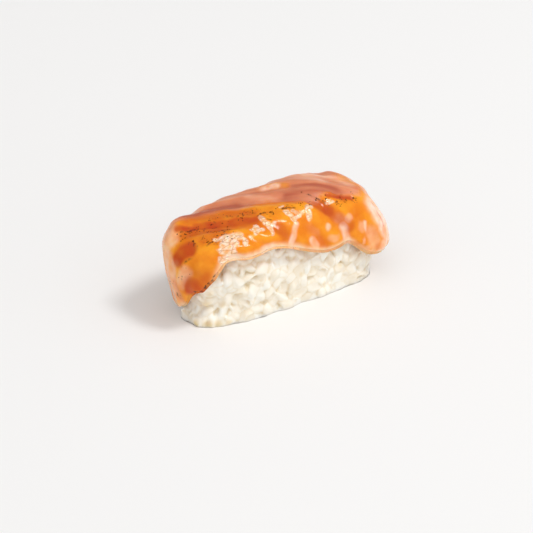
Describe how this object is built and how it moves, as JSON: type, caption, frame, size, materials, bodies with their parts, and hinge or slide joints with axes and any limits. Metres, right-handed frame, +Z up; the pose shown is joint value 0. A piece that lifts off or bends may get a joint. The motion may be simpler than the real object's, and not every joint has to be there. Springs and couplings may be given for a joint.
{
  "type": "salmon nigiri",
  "caption": "Seared salmon nigiri: a pressed bed of sushi rice under one draped, glazed slice of salmon.",
  "frame": {"origin": "under the middle of the whole, on the surface that the rice rests on", "axes": "+X along the bed of rice towards the end that the slice overhangs, -Y towards the side that shows most rice, +Z up"},
  "size_m": [0.07, 0.0306, 0.0309],
  "materials": {
    "rice": "moist cooked rice, slightly glossy",
    "salmon": "seared and brushed with a wet glaze"
  },
  "bodies": {
    "root": {"rice": "rice", "salmon": "salmon"}
  },
  "joints": []
}
